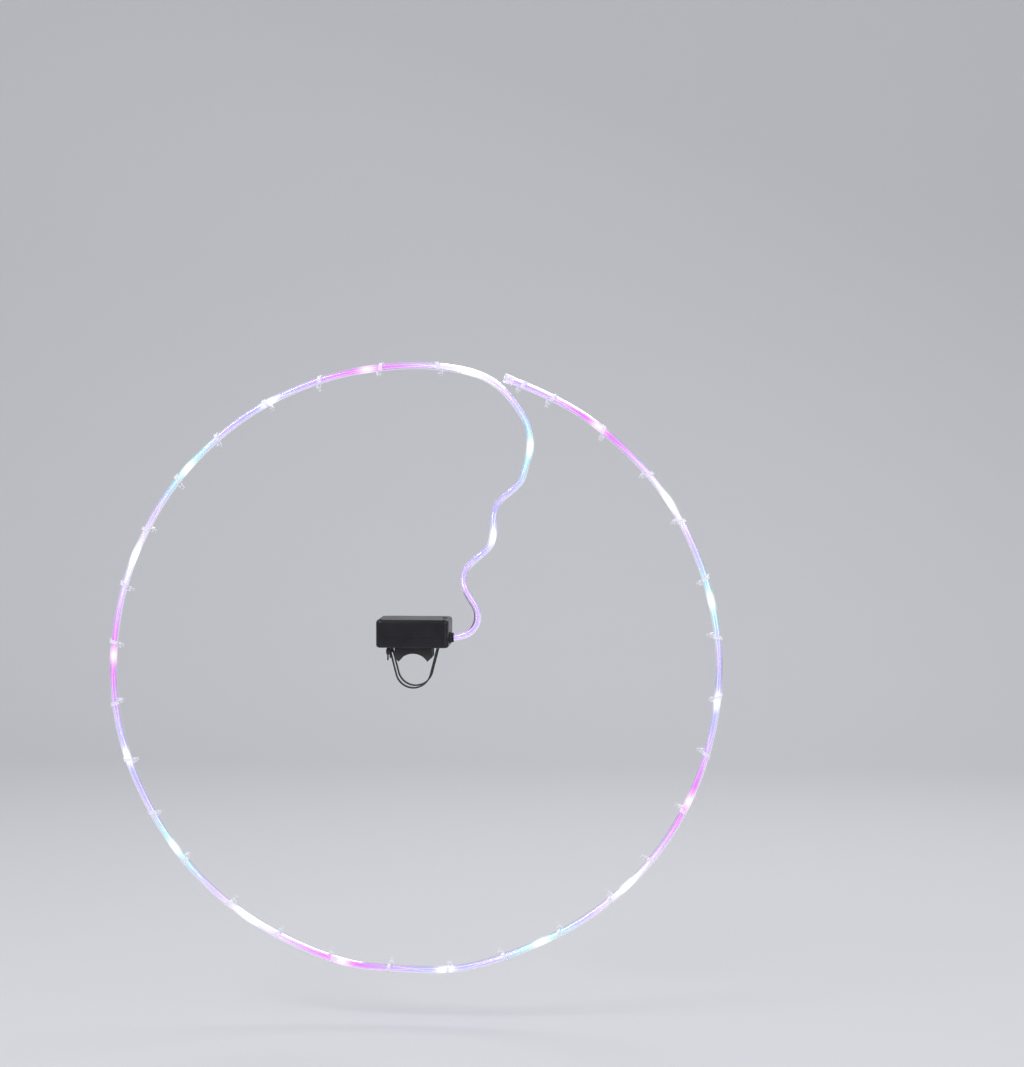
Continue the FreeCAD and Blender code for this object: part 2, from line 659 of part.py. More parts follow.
def hub_loop():
    """The inner line of a hub tie: round the hub, up beside the pad and through the tunnel."""
    corner = V(HUB_TIE_CORNER_X, 0, HUB_TIE_TOP)
    reach = math.acos(HUB_RADIUS / corner.Length)
    touch = math.degrees(math.atan2(corner.z, corner.x) - reach)
    right = polar(HUB_RADIUS, touch, 0)
    left = V(-right.x, 0, right.z)
    mirror = V(-corner.x, 0, corner.z)
    edges = [Part.Arc(left, V(0, 0, -HUB_RADIUS), right).toShape()]
    first = corner_arc(right, corner, mirror, 1.6)
    second = corner_arc(corner, mirror, left, 1.6)
    edges.append(Part.LineSegment(right, first[0]).toShape())
    edges.append(Part.Arc(*first[:3]).toShape())
    edges.append(Part.LineSegment(first[2], second[0]).toShape())
    edges.append(Part.Arc(*second[:3]).toShape())
    edges.append(Part.LineSegment(second[2], left).toShape())
    return Part.Wire(edges)


def hub_tie(y):
    inner = hub_loop()
    outer = inner.makeOffset2D(HUB_TIE_THICKNESS)
    ring = Part.Face(outer).cut(Part.Face(inner))
    ring.translate(V(0, y - HUB_TIE_WIDTH / 2, 0))
    band = ring.extrude(V(0, HUB_TIE_WIDTH, 0))
    head = box(-25.4, -21.6, y - 3.6, y + 3.6, 14.8, 20.6)
    tail = box(-24.8, -23.5, y - 2.2, y + 2.2, 9.4, 14.9)
    return band.fuse([head, tail])


def check_volume(name, shape, section_area, length):
    print(name, "volume", round(shape.Volume), "expected", round(section_area * length))


def model():
    path, radii = cord_path(tube_points())
    print("tube length", round(path.Length), "arc radii", [round(radius) for radius in radii])
    nodes = {"light_tube": tube(path), "wire_positive": wire(path, 1), "wire_negative": wire(path, -1)}
    tube_area = polygon_area(TUBE_RADIUS, TUBE_SIDES) - polygon_area(TUBE_BORE, BORE_SIDES)
    check_volume("light_tube", nodes["light_tube"], tube_area, path.Length)
    check_volume("wire_positive", nodes["wire_positive"], polygon_area(WIRE_RADIUS, WIRE_SIDES),
                 path.Length)
    places = led_places(path)
    for colour in LED_COLOURS:
        nodes["leds_" + colour] = group(bead(), [frame_at(path, at) for name, at in places
                                                 if name == colour])
    nodes["led_chips"] = group(chip(), [frame_at(path, at) for name, at in places])
    nodes["end_plug"] = end_plug(path)
    nodes["spoke_ties_left"], nodes["spoke_ties_right"] = spoke_ties(path)
    nodes["case_base"] = case_base()
    nodes["case_lid"] = case_lid()
    nodes["lid_gasket"] = lid_gasket()
    nodes["lid_screws"] = lid_screws()
    for index in range(3):
        nodes["battery_" + str(index + 1)] = battery(index)
    nodes["terminal_negative"] = contact(LEFT_ZONE, 1, leaf_y=-CELL_PITCH)
    nodes["bridge_left"] = contact(LEFT_ZONE, 1, leaf_y=CELL_PITCH, dimple_y=0)
    nodes["bridge_right"] = contact(RIGHT_ZONE, -1, leaf_y=0, dimple_y=-CELL_PITCH)
    nodes["terminal_positive"] = contact(RIGHT_ZONE, -1, dimple_y=CELL_PITCH)
    nodes["circuit_board"] = circuit_board()
    nodes["board_parts"] = board_parts()
    nodes["switch_body"] = switch_body()
    nodes["switch_plunger"] = switch_plunger()
    nodes["push_button"] = push_button()
    nodes["cable_gland"] = cable_gland()
    nodes["lead_wires"] = lead_wires()
    nodes["hub_pad"] = hub_pad()
    nodes["hub_tie_near"] = hub_tie(-HUB_TIE_Y)
    nodes["hub_tie_far"] = hub_tie(HUB_TIE_Y)
    return nodes


os.makedirs("parts", exist_ok=True)
for node, shape in model().items():
    shape.exportStep("parts/" + node + ".step")
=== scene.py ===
import bpy
import bmesh
import math
import random
import numpy as np
from mathutils import Matrix, Vector


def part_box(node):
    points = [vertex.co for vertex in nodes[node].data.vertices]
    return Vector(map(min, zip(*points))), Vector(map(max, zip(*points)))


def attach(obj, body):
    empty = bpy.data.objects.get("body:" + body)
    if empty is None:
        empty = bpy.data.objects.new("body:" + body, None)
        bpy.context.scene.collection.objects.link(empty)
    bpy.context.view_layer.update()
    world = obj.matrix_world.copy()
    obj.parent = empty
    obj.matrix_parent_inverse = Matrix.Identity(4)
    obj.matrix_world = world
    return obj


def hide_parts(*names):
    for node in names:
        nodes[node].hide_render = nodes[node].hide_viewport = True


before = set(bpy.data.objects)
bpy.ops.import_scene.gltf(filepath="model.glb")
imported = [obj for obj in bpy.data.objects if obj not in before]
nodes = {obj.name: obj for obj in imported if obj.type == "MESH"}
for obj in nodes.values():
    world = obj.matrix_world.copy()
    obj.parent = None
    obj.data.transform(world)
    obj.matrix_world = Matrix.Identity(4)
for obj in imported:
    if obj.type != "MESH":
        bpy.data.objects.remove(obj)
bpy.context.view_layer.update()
MM = 0.001
CASE_BODY = "string_and_case"

# Spokes, tube and route, in millimetres and degrees, as in the part's source
HUB_RADIUS = 16.0
SPOKE_RADIUS = 1.0
SPOKE_COUNT = 32
FIRST_SPOKE_ANGLE = 6.6
SPOKE_STEP = 360.0 / SPOKE_COUNT
SPOKE_BEHIND_JOIN = 6
EXTRA_TIE_ANGLE = 69.3
RING_RADIUS = 288.0
TUBE_RADIUS = 3.5
TUBE_BORE = 2.6
TUBE_GAP = 0.1
TUBE_Y = -SPOKE_RADIUS - TUBE_RADIUS - TUBE_GAP
LEAD_SPOKE_ANGLE = 64.7
LEAD_SPOKE_MISS = 9.5
LEAD_FLANGE_Y = -33.0
WIND_RADIUS = 6.4
WIND_PITCH = 66.6
WIND_START = 97.3
WIND_STEPS = 9
WIND_STEPS_PER_TURN = 5
WIND_FIRST_ANGLE = 125.5
GLAND_Y = -16.0
SEAM = 31.7
TUBE_START_X = 29.6
LEAD_ROUTE = [(TUBE_START_X, GLAND_Y, SEAM), (47.5, GLAND_Y, SEAM), (60.7, -20.9, 42.7),
              (62.4, -28.4, 58.9), (53.4, -32.9, 71.9)]
JOIN_ROUTE = [(110.7, -11.7, 210.8), (107, -6.5, 232), (96, -4.9, 249.5), (79.6, TUBE_Y, 268.5)]
# The ring's own points are (angle, distance outside the ring's circle)
RING_ROUTE = [(79.6, -1.4), (91, -1.6), (107, -1.4), (124, -0.5), (142, -0.3), (159, -0.2),
              (175, 0.9), (191, 2.2), (207, 0.4), (223, 1.4), (239, 1.2), (256, 3.3), (267, -0.4),
              (278, 2.8), (290, -1.2), (306, -0.4), (324, 0.4), (342, -1.1), (360, -0.5),
              (377, -1.1), (395, 0.1), (412, -1.1), (424, -0.8), (432.4, -0.8)]
CURVE_STEPS = 24
DIRECTION_REACH = 0.6

# Case, hub ties and board, in millimetres
CASE_END = 34.25
CASE_INSIDE = 32.45
GLAND_NECK = 4.2
PLUG_RADIUS = 4.4
PLUG_COVER = 7.0
HUB_TIE_Y = 12.0
HUB_TIE_WIDTH = 4.6
HUB_TIE_THICKNESS = 1.3
HUB_TIE_TOP = 23.85
HUB_TIE_CORNER_X = 22.6
HUB_TIE_BEND = 1.6
BOARD_TOP = 38.0
SWITCH_X = 28.9
CONTROLLER_Y = -10.0
CAPACITOR_Y = 14.2
RESISTOR_YS = (6.0, 8.2, 10.4)
RESISTOR_HALF = 0.62
SOLDER_SPOTS = [(28.0, -15.2), (29.8, -15.2), (28.0, 3.6), (29.8, 3.6), (27.6, -4.6), (30.2, -4.6)]

# LEDs: angles in degrees, pitch along the tube in millimetres
LED_FIRST_ANGLE = 53.1
LED_ANGLE_STEP = 19.62
LED_RING_COUNT = 18
LED_LEAD_COUNT = 2
LED_PITCH = 98.0
LED_ORDER = ["pink", "white", "green", "blue"]
LED_LIGHT = {"pink": (1.0, 0.20, 0.82), "white": (0.88, 0.90, 1.0), "green": (0.25, 1.0, 0.75),
             "blue": (0.22, 0.30, 1.0)}
# Painted glow of each LED, drawn into the tube's colour near it
LED_PAINTED_GLOW = {"pink": (0.66, 0.16, 0.84), "white": (0.80, 0.77, 0.93), "green": (0.36, 0.74, 0.78),
            "blue": (0.42, 0.47, 0.95)}

# Painted LED glow as the tube's colour, and its light: weights and shares, reaches in millimetres
TUBE_PAINTED_GLOW = (0.56, 0.44, 0.88)
TUBE_PAINTED_GLOW_WEIGHT = 0.30
LED_PAINTED_GLOW_WEIGHT = 2.2
PAINTED_GLOW_REACH = 15.0
PAINTED_GLOW_FALL = 1.15
WALL_WHITE = 0.28
CORE_WHITE = 0.5
CORE_REACH = 7.5
LIGHT_BETWEEN = 0.40

# Edges steeper than these angles are drawn sharp, in degrees
PIECE_SHARP_ANGLE = 32
TUBE_SHARP_ANGLE = 60
NODE_SHARP_ANGLE = 30


# Mesh helpers

def new_object(name, data, body):
    piece = bpy.data.objects.new(name, data)
    bpy.context.scene.collection.objects.link(piece)
    if body:
        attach(piece, body)
    return piece


def smooth(mesh):
    mesh.polygons.foreach_set("use_smooth", [True] * len(mesh.polygons))


def sharpen(piece, degrees):
    """Smooth shading that stays sharp across edges steeper than the angle."""
    smooth(piece.data)
    piece.data.set_sharp_from_angle(angle=math.radians(degrees))


def mesh_from_bmesh(name, bm):
    bmesh.ops.recalc_face_normals(bm, faces=bm.faces)
    mesh = bpy.data.meshes.new(name)
    bm.to_mesh(mesh)
    bm.free()
    smooth(mesh)
    return mesh


def polar(radius, degrees, y):
    """A point round the hub's axis, at y along it."""
    angle = math.radians(degrees)
    return Vector((radius * math.cos(angle), y, radius * math.sin(angle)))


def circle_point(along, radius, side, sides, squash=1.0):
    """One of the points of a circle round the X axis, which squash makes narrower along Y."""
    angle = 2 * math.pi * side / sides
    return Vector((along, math.cos(angle) * radius * squash, math.sin(angle) * radius))


def join_rings(bm, rings, closed):
    """Faces between rings of vertices. The last joins the first, or both ends get a cap."""
    for before, after in zip(rings, rings[1:] + (rings[:1] if closed else [])):
        for k in range(len(before)):
            other = (k + 1) % len(before)
            bm.faces.new((before[k], before[other], after[other], after[k]))
    if not closed:
        bm.faces.new(rings[0][::-1])
        bm.faces.new(rings[-1])


def add_lathe(bm, place, profile, sides, closed=False, squash=1.0):
    """Turns (along, radius) points round the X axis of a place."""
    rings = []
    for along, radius in profile:
        rings.append([bm.verts.new((place @ circle_point(along, radius, side, sides, squash)) * MM)
                      for side in range(sides)])
    join_rings(bm, rings, closed)


def add_strap(bm, place, line, profile, wide):
    """Sweeps (across, out) points along a closed line of (point, outward direction) pairs.

    Wide is the direction across the strap.
    """
    rings = []
    for point, out in line:
        rings.append([bm.verts.new((place @ (point + wide * across + out * height)) * MM)
                      for across, height in profile])
    join_rings(bm, rings, closed=True)


def add_block(bm, place, centre, size, bevel):
    """A block with all its edges rounded."""
    verts = bmesh.ops.create_cube(bm, size=1.0)["verts"]
    for vert in verts:
        vert.co = Vector([c * length for c, length in zip(vert.co, size)]) + Vector(centre)
    edges = list(dict.fromkeys(edge for vert in verts for edge in vert.link_edges))
    result = bmesh.ops.bevel(bm, geom=edges, offset=bevel, segments=2, affect="EDGES", profile=0.5)
    block_verts = {vert for face in result["faces"] for vert in face.verts}
    block_verts |= {vert for vert in verts if vert.is_valid}
    for vert in block_verts:
        vert.co = (place @ vert.co) * MM


def add_blocks(bm, place, origin, blocks):
    """Blocks from a table of (offset from the origin, size, edge radius)."""
    for offset, size, bevel in blocks:
        add_block(bm, place, Vector(origin) + Vector(offset), size, bevel)


def finish_piece(name, bm, material, node):
    """Turns the mesh into a piece with its slot. It stands for the node, if one is named."""
    piece = new_object(name, mesh_from_bmesh(name, bm), CASE_BODY)
    piece.data.materials.append(material)
    sharpen(piece, PIECE_SHARP_ANGLE)
    if node:
        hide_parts(node)


# Route of the tube

# Directions along the spoke that the lead winds round, and to its right
LEAD_ALONG = polar(1.0, LEAD_SPOKE_ANGLE, 0.0)
LEAD_ASIDE = Vector((LEAD_ALONG.z, 0, -LEAD_ALONG.x))


def lead_spoke_point(distance):
    """A point of that spoke. Its y runs from the flange's to 0 at the ring."""
    drift = Vector((0, LEAD_FLANGE_Y * (1 - distance / RING_RADIUS), 0))
    return LEAD_ALONG * distance + LEAD_ASIDE * LEAD_SPOKE_MISS + drift


def wound_points():
    step = WIND_PITCH / WIND_STEPS_PER_TURN
    points = []
    for index in range(WIND_STEPS + 1):
        turn = math.radians(WIND_FIRST_ANGLE + 360.0 * index / WIND_STEPS_PER_TURN)
        offset = LEAD_ASIDE * math.cos(turn) + Vector((0, -math.sin(turn), 0))
        points.append(lead_spoke_point(WIND_START + index * step) + offset * WIND_RADIUS)
    return points


def ring_points():
    """Control points of the ring, moved out because the curve runs inside them."""
    points = []
    angles = [angle for angle, stray in RING_ROUTE]
    for index, (angle, stray) in enumerate(RING_ROUTE):
        reach = angles[min(index + 1, len(angles) - 1)] - angles[max(index - 1, 0)]
        bulge = RING_RADIUS * (1 - math.cos(math.radians(reach / 4)))
        points.append(polar(RING_RADIUS + stray + bulge, angle, TUBE_Y))
    return points


def route_points():
    lead = [Vector(point) for point in LEAD_ROUTE]
    joining = [Vector(point) for point in JOIN_ROUTE]
    return lead + wound_points() + joining + ring_points()


class Route:
    """The smooth line through the route's points, measured along its length in millimetres."""

    def __init__(self, points):
        curve = bpy.data.curves.new("route", "CURVE")
        curve.dimensions = "3D"
        curve.resolution_u = CURVE_STEPS
        spline = curve.splines.new("NURBS")
        spline.points.add(len(points) - 1)
        for place, point in zip(spline.points, points):
            place.co = (*point, 1.0)
        spline.order_u = 3
        spline.use_endpoint_u = True
        holder = bpy.data.objects.new("route", curve)
        line = bpy.data.meshes.new_from_object(holder)
        self.points = np.array([v.co[:] for v in line.vertices])
        bpy.data.objects.remove(holder)
        bpy.data.curves.remove(curve)
        bpy.data.meshes.remove(line)
        steps = np.linalg.norm(np.diff(self.points, axis=0), axis=1)
        self.lengths = np.concatenate([[0.0], np.cumsum(steps)])
        self.total = float(self.lengths[-1])

    def at(self, distance):
        return Vector([float(np.interp(distance, self.lengths, self.points[:, k]))
                       for k in range(3)])

    def direction(self, distance):
        ahead = self.at(min(distance + DIRECTION_REACH, self.total))
        behind = self.at(max(distance - DIRECTION_REACH, 0.0))
        return (ahead - behind).normalized()

    def at_angle(self, degrees):
        """Distance at which the ring part passes an angle."""
        start = self.total - 2 * math.pi * RING_RADIUS
        angles = np.degrees(np.arctan2(self.points[:, 2], self.points[:, 0])) % 360
        gap = np.abs((angles - degrees + 180) % 360 - 180)
        gap[self.lengths < start] = math.inf
        return float(self.lengths[int(np.argmin(gap))])

    def frame(self, distance):
        """X back along the tube, Y towards the spokes, Z away from the hub."""
        x = -self.direction(distance)
        y = (Vector((0, 1, 0)) - x * x.y).normalized()
        z = x.cross(y)
        turn = Matrix((x, y, z)).transposed().to_4x4()
        return Matrix.Translation(self.at(distance)) @ turn


route = Route(route_points())


def led_places():
    """(colour, distance) of each LED: first those on the ring, then those on the lead."""
    distances = [route.at_angle((LED_FIRST_ANGLE - index * LED_ANGLE_STEP) % 360)
                 for index in range(LED_RING_COUNT)]
    last = distances[-1]
    distances += [last - back * LED_PITCH for back in range(1, LED_LEAD_COUNT + 1)]
    return [(LED_ORDER[index % len(LED_ORDER)], distance)
            for index, distance in enumerate(distances)]


LEDS = led_places()


def led_gap(distance):
    """How far the nearest LED is along the tube."""
    return min(abs(distance - place) for name, place in LEDS)


# Painted glow as colour, and light, along the tube

def whitened(colour, share):
    """The colour mixed with a share of white."""
    return [share + (1 - share) * c for c in colour]


def painted_glow_at(distance):
    """Colour of the tube, which is painted LED glow: a pale lilac, drawn towards each LED's own
    colour near it.
    """
    total = TUBE_PAINTED_GLOW_WEIGHT
    colour = [TUBE_PAINTED_GLOW_WEIGHT * c for c in TUBE_PAINTED_GLOW]
    for name, place in LEDS:
        weight = LED_PAINTED_GLOW_WEIGHT * math.exp(-(abs(distance - place) / PAINTED_GLOW_REACH) ** PAINTED_GLOW_FALL)
        total += weight
        colour = [c + weight * t for c, t in zip(colour, LED_PAINTED_GLOW[name])]
    return [c / total for c in colour]


def wall_painted_glow_at(distance):
    """The painted glow as it colours light that only passes through the wall."""
    return whitened(painted_glow_at(distance), WALL_WHITE)


def light_at(distance):
    """Colour of the light that leaves the tube, whiter at each LED, at most 1 in each channel."""
    core = math.exp(-(led_gap(distance) / CORE_REACH) ** 2)
    painted_glow = painted_glow_at(distance)
    return [min(1.0, LIGHT_BETWEEN * c + core * white)
            for c, white in zip(painted_glow, whitened(painted_glow, CORE_WHITE))]


# Materials

class Shade:
    """A node material with a Principled shader and short calls for the nodes it needs.

    Sockets of the shader go by their names in lower case, with _ for each space.
    """

    def __init__(self, name, squeeze=(1, 1, 1), **values):
        self.material = bpy.data.materials.new(name)
        self.material.use_nodes = True
        self.tree = self.material.node_tree
        self.shader = self.tree.nodes["Principled BSDF"]
        for key, value in values.items():
            self.socket(key).default_value = value
        coordinates = self.node("ShaderNodeTexCoord")
        mapping = self.node("ShaderNodeMapping")
        mapping.inputs["Scale"].default_value = squeeze
        self.link(coordinates.outputs["Object"], mapping.inputs["Vector"])
        self.vector = mapping.outputs["Vector"]

    def node(self, kind):
        return self.tree.nodes.new(kind)

    def link(self, source, target):
        self.tree.links.new(source, target)

    def socket(self, key):
        return self.shader.inputs[key.replace("_", " ").title().replace("Ior", "IOR")]

    def feed(self, **sources):
        for key, source in sources.items():
            self.link(source, self.socket(key))

    def attribute(self, name):
        made = self.node("ShaderNodeAttribute")
        made.attribute_name = name
        return made.outputs["Color"]

    def noise(self, scale, detail=3.0, roughness=0.55):
        made = self.node("ShaderNodeTexNoise")
        made.inputs["Scale"].default_value = scale
        made.inputs["Detail"].default_value = detail
        made.inputs["Roughness"].default_value = roughness
        self.link(self.vector, made.inputs["Vector"])
        return made.outputs["Fac"]

    def ramp(self, factor, *stops):
        """Stops are (position, colour), where a single number stands for a grey."""
        made = self.node("ShaderNodeValToRGB")
        elements = made.color_ramp.elements
        while len(elements) < len(stops):
            elements.new(0.5)
        for element, (position, colour) in zip(elements, stops):
            element.position = position
            if isinstance(colour, (int, float)):
                colour = (colour, colour, colour)
            element.color = (*colour, 1.0)
        self.link(factor, made.inputs["Fac"])
        return made.outputs["Color"]

    def bump(self, height, strength, distance):
        made = self.node("ShaderNodeBump")
        made.inputs["Strength"].default_value = strength
        made.inputs["Distance"].default_value = distance
        self.link(height, made.inputs["Height"])
        self.feed(normal=made.outputs["Normal"])


def tube_material(name, strength, roughness, **values):
    """Clear flexible plastic, with the LEDs' glow inside it painted into its colour and as its own
    light.
    """
    shade = Shade(name, ior=1.45, emission_strength=strength, **values)
    shade.feed(base_color=shade.attribute("painted_glow"), emission_color=shade.attribute("light"),
               roughness=shade.ramp(shade.noise(60.0, 4.0, 0.6),
                                    (0.3, roughness), (0.8, roughness + 0.12)))
    shade.bump(shade.noise(240.0, 2.0, 0.5), 0.1, 0.0002)
    return shade.material


def led_material(name):
    """A clear resin drop, so bright that its middle turns white."""
    light = LED_LIGHT[name]
    shade = Shade("led_" + name, base_color=(*whitened(light, CORE_WHITE), 1.0), roughness=0.12,
                  transmission_weight=0.35, coat_weight=0.5,
                  emission_color=(*light, 1.0), emission_strength=6.0)
    shade.bump(shade.noise(900.0, 1.0), 0.08, 0.0001)
    return shade.material


def wire_material():
    """Tinned copper in clear enamel, with a painted glow for the light it catches inside the tube.
    """
    shade = Shade("wire_tinned_copper", metallic=0.7, roughness=0.3,
                  emission_color=(0.95, 0.88, 1.0, 1.0), emission_strength=0.7)
    shade.feed(base_color=shade.ramp(shade.noise(700.0),
                                     (0.3, (0.80, 0.68, 0.62)), (0.7, (0.95, 0.90, 0.88))))
    shade.bump(shade.noise(1500.0), 0.1, 0.0001)
    return shade.material


def tie_material():
    """Natural nylon: milky, slightly see-through, a little uneven, with a faint painted glow for
    the tube's light inside it.
    """
    shade = Shade("nylon_clear", transmission_weight=0.12, ior=1.5, subsurface_weight=0.35,
                  subsurface_scale=0.003, subsurface_radius=(1.0, 0.95, 1.0), coat_weight=0.3,
                  coat_roughness=0.12, emission_color=(0.88, 0.85, 1.0, 1.0),
                  emission_strength=0.06)
    shade.feed(base_color=shade.ramp(shade.noise(260.0, 3.0, 0.55),
                                     (0.3, (0.76, 0.76, 0.82)), (0.7, (0.84, 0.84, 0.88))),
               roughness=shade.ramp(shade.noise(500.0, 3.0, 0.6), (0.3, 0.22), (0.8, 0.38)))
    shade.bump(shade.noise(900.0, 2.0, 0.5), 0.03, 0.0001)
    return shade.material


def clear_plastic():
    """Clear moulded cap, slightly hazy, with a faint painted glow from the tube."""
    shade = Shade("clear_cap", transmission_weight=0.85, ior=1.48, coat_weight=0.3,
                  coat_roughness=0.05, emission_color=(0.86, 0.84, 1.0, 1.0),
                  emission_strength=0.12)
    shade.feed(base_color=shade.ramp(shade.noise(300.0, 3.0, 0.55),
                                     (0.3, (0.86, 0.86, 0.92)), (0.7, (0.96, 0.96, 0.99))),
               roughness=shade.ramp(shade.noise(400.0, 3.0, 0.6), (0.3, 0.12), (0.8, 0.26)))
    shade.bump(shade.noise(1200.0, 2.0, 0.5), 0.08, 0.0001)
    return shade.material


def case_material():
    """Black moulded plastic with a fine spark-eroded grain."""
    shade = Shade("case_black", specular_ior_level=0.32)
    broad = shade.noise(35.0, 3.0, 0.6)
    shade.feed(base_color=shade.ramp(broad, (0.3, (0.006, 0.006, 0.008)),
                                     (0.75, (0.012, 0.011, 0.016))),
               roughness=shade.ramp(broad, (0.3, 0.26), (0.75, 0.38)))
    shade.bump(shade.noise(2600.0, 2.0, 0.6), 0.22, 0.00012)
    return shade.material


def rubber_material(name, low, high):
    shade = Shade(name)
    shade.feed(base_color=shade.ramp(shade.noise(60.0, 3.0, 0.6), (0.3, low), (0.75, high)),
               roughness=shade.ramp(shade.noise(120.0, 3.0, 0.6), (0.3, 0.6), (0.75, 0.8)))
    shade.bump(shade.noise(900.0, 3.0, 0.6), 0.3, 0.0002)
    return shade.material


def metal_material(name, low, high):
    """Bare metal, with its wear squeezed along Z into fine lines."""
    shade = Shade(name, squeeze=(1, 1, 12), metallic=1.0)
    shade.feed(base_color=shade.ramp(shade.noise(300.0, 3.0, 0.6), (0.3, low), (0.7, high)),
               roughness=shade.ramp(shade.noise(500.0, 3.0, 0.6), (0.3, 0.28), (0.7, 0.43)))
    shade.bump(shade.noise(1200.0, 2.0, 0.5), 0.08, 0.0001)
    return shade.material


def cell_material(name, positive_right):
    """A plain blue sleeve with a pale band at the positive end and bare steel at both ends."""
    shade = Shade(name, coat_weight=0.3, coat_roughness=0.1)
    split = shade.node("ShaderNodeSeparateXYZ")
    shade.link(shade.vector, split.inputs["Vector"])
    ends = [corner[0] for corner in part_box("battery_1")]
    if not positive_right:
        ends.reverse()
    along = shade.node("ShaderNodeMapRange")
    along.inputs["From Min"].default_value = ends[0]
    along.inputs["From Max"].default_value = ends[1]
    shade.link(split.outputs["X"], along.inputs["Value"])
    place = along.outputs["Result"]
    steel = (0.66, 0.65, 0.63)
    blue = (0.035, 0.110, 0.270)
    band = (0.62, 0.63, 0.66)
    wear = shade.noise(400.0)
    shade.feed(base_color=shade.ramp(place, (0.0, steel), (0.018, steel), (0.022, blue),
                                     (0.78, blue), (0.785, band), (0.955, band), (0.96, steel)),
               metallic=shade.ramp(place, (0.0, 1.0), (0.018, 1.0), (0.022, 0.0),
                                   (0.955, 0.0), (0.96, 1.0)),
               roughness=shade.ramp(wear, (0.3, 0.2), (0.7, 0.32)))
    shade.bump(wear, 0.06, 0.0001)
    return shade.material


def board_material():
    shade = Shade("board_green", coat_weight=0.5, coat_roughness=0.12, roughness=0.4)
    shade.feed(base_color=shade.ramp(shade.noise(220.0, 4.0, 0.6), (0.35, (0.004, 0.075, 0.030)),
                                     (0.7, (0.010, 0.125, 0.050))))
    shade.bump(shade.noise(500.0), 0.1, 0.0001)
    return shade.material


def plastic_material(name, low, high, rough=0.4):
    shade = Shade(name)
    shade.feed(base_color=shade.ramp(shade.noise(80.0, 3.0, 0.6), (0.3, low), (0.75, high)),
               roughness=shade.ramp(shade.noise(150.0, 3.0, 0.6),
                                    (0.3, rough), (0.75, rough + 0.1)))
    shade.bump(shade.noise(1800.0, 2.0, 0.5), 0.12, 0.0001)
    return shade.material


RUBBER_BLACK = rubber_material("rubber_black", (0.012, 0.012, 0.013), (0.028, 0.028, 0.030))
NICKEL = metal_material("nickel", (0.62, 0.60, 0.56), (0.78, 0.76, 0.72))


# Tube, wires and beads

TUBE_STEP = 2.4
TUBE_SIDES = 28
WIRE_SIDES = 8
WIRE_RADIUS = 0.35
WIRE_OFFSET = 1.9
WIRE_AT_BEAD = 0.95
WIRE_SPREAD = 16.0
WIRE_SPREAD_POWER = 0.7
# Each swing of the wires round the middle is (radians, distance per radian, phase)
WIRE_SWINGS = ((0.95, 41.0, 0.0), (0.5, 17.3, 1.0))
# (along, radius) from one pointed end of a bead to the other
BEAD_PROFILE = [(-3.3, 0.12), (-2.9, 0.5), (-2.1, 1.0), (-1.1, 1.25), (0.0, 1.32), (1.1, 1.25),
                (2.1, 1.0), (2.9, 0.5), (3.3, 0.12)]
BEAD_SIDES = 16
BEAD_SQUASH = 0.95


def tube_mesh(name, stations, sides, radii, offset=None):
    """A round tube along the route. With two radii it has a bore and closed ends."""
    vertices = []
    faces = []
    per_station = sides * len(radii)
    for distance in stations:
        place = route.frame(distance)
        centre = offset(distance) if offset else Vector((0, 0, 0))
        for radius in radii:
            for side in range(sides):
                local = centre + circle_point(0, radius, side, sides)
                vertices.append(tuple((place @ local) * MM))
    for step in range(len(stations) - 1):
        for layer in range(len(radii)):
            start = step * per_station + layer * sides
            for side in range(sides):
                a = start + side
                b = start + (side + 1) % sides
                quad = (a, b, b + per_station, a + per_station)
                faces.append(quad if layer == 0 else quad[::-1])
    for start, flip in ((0, True), ((len(stations) - 1) * per_station, False)):
        if len(radii) == 2:
            caps = []
            for side in range(sides):
                after = (side + 1) % sides
                caps.append((start + side, start + after,
                             start + sides + after, start + sides + side))
        else:
            caps = [tuple(range(start, start + sides))]
        faces += [cap[::-1] if flip else cap for cap in caps]
    mesh = bpy.data.meshes.new(name)
    mesh.from_pydata(vertices, [], faces)
    mesh.validate()
    smooth(mesh)
    mesh.update()
    return mesh


def paint_stations(mesh, layer_name, stations, colour_at):
    """Gives all vertices of each station the colour for its distance."""
    per_station = len(mesh.vertices) // len(stations)
    colours = []
    for distance in stations:
        colours += [*colour_at(distance), 1.0] * per_station
    layer = mesh.color_attributes.new(layer_name, "FLOAT_COLOR", "POINT")
    layer.data.foreach_set("color", colours)


def wire_offset(side):
    """The two wires turn slowly round the middle of the tube and close in on each bead."""
    def offset(distance):
        spread = min(1.0, led_gap(distance) / WIRE_SPREAD) ** WIRE_SPREAD_POWER
        reach = WIRE_AT_BEAD + (WIRE_OFFSET - WIRE_AT_BEAD) * spread
        if distance < WIRE_SPREAD:
            reach = WIRE_OFFSET
        turn = sum(size * math.sin(distance / length + phase)
                   for size, length, phase in WIRE_SWINGS)
        turn *= min(1.0, distance / WIRE_SPREAD)
        return Vector((0, side * reach * math.cos(turn), side * reach * math.sin(turn)))
    return offset


